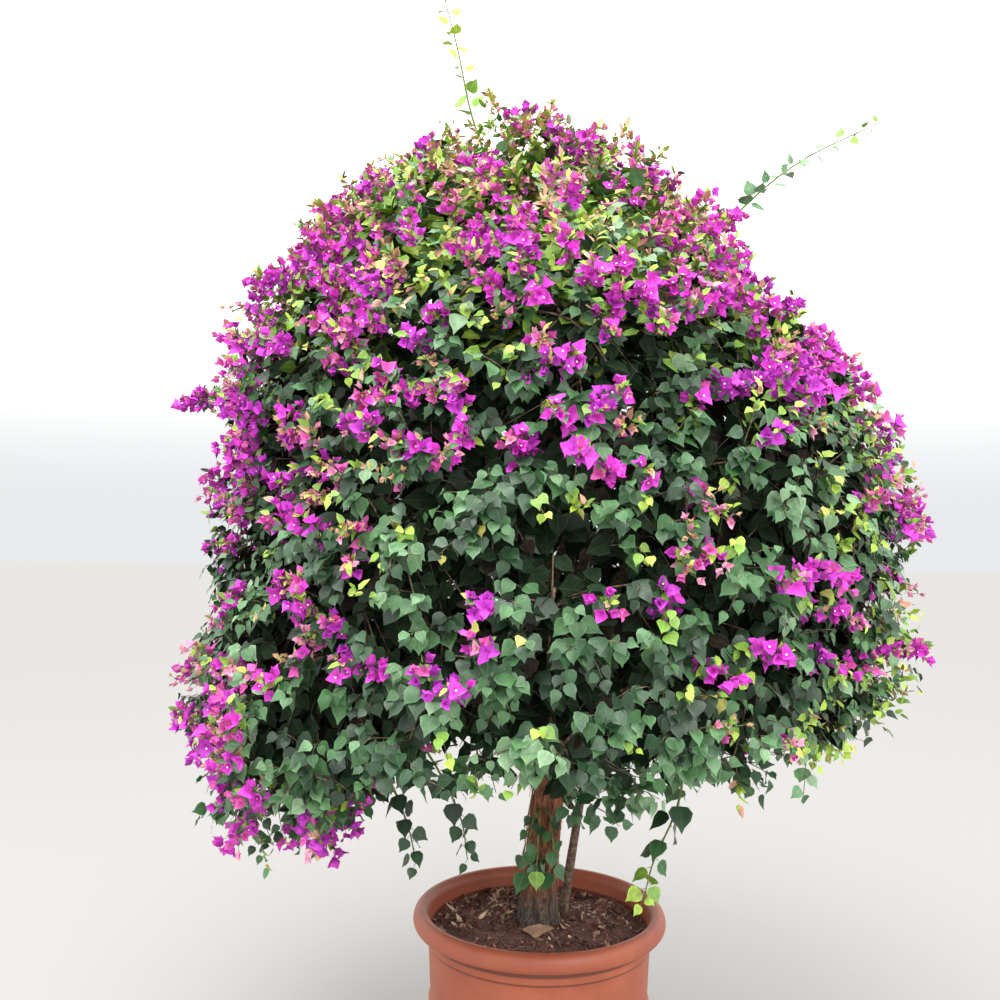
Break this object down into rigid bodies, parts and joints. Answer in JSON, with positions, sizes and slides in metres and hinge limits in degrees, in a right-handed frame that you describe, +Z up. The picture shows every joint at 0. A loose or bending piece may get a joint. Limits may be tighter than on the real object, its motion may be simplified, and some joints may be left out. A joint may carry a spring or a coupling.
{
  "type": "potted bougainvillea bush",
  "caption": "Round-headed flowering bougainvillea bush on a short trunk, growing in a round rolled-rim planter pot of soil.",
  "frame": {"origin": "middle of the pot's flat underside, on the ground", "axes": "+Z up through the pot and trunk, +Y away from the viewer of the picture, +X to that viewer's right"},
  "size_m": [2.0456, 2.0043, 3.0906],
  "materials": {
    "pot": "satin terracotta",
    "soil": "rough earth",
    "bark": "rough fibrous bark",
    "foliage": "satin leaves",
    "blossom": "papery bracts"
  },
  "bodies": {
    "root": {"arching_shoot": "foliage", "bough_1": "bark", "bough_2": "bark", "bough_3": "bark", "bough_4": "bark", "bough_5": "bark", "bough_6": "bark", "hanging_sprig": "foliage", "head_mass": "blossom", "high_bough_1": "bark", "high_bough_2": "bark", "high_bough_3": "bark", "high_bough_4": "bark", "high_bough_5": "bark", "leader": "bark", "leader_shoot": "foliage", "left_low_shoot": "foliage", "left_shoot": "foliage", "low_bough_1": "bark", "low_bough_2": "bark", "low_bough_3": "bark", "low_bough_4": "bark", "low_bough_5": "bark", "low_bough_6": "bark", "pot": "pot", "second_stem": "bark", "shaded_sprig_1": "foliage", "shaded_sprig_2": "foliage", "shoulder_mass_1": "foliage", "shoulder_mass_2": "foliage", "shoulder_mass_3": "foliage", "shoulder_mass_4": "foliage", "shoulder_mass_5": "foliage", "skirt_mass_1": "foliage", "skirt_mass_2": "foliage", "skirt_mass_3": "foliage", "skirt_mass_4": "foliage", "skirt_mass_5": "foliage", "skirt_mass_6": "foliage", "skirt_mass_7": "foliage", "soil": "soil", "top_bough_1": "bark", "top_bough_2": "bark", "top_bough_3": "bark", "trunk": "bark", "trunk_sprig": "foliage", "upper_mass_1": "blossom", "upper_mass_2": "blossom", "upper_mass_3": "blossom", "waist_mass_1": "foliage", "waist_mass_2": "foliage", "waist_mass_3": "foliage", "waist_mass_4": "foliage", "waist_mass_5": "foliage", "waist_mass_6": "foliage"}
  },
  "joints": []
}
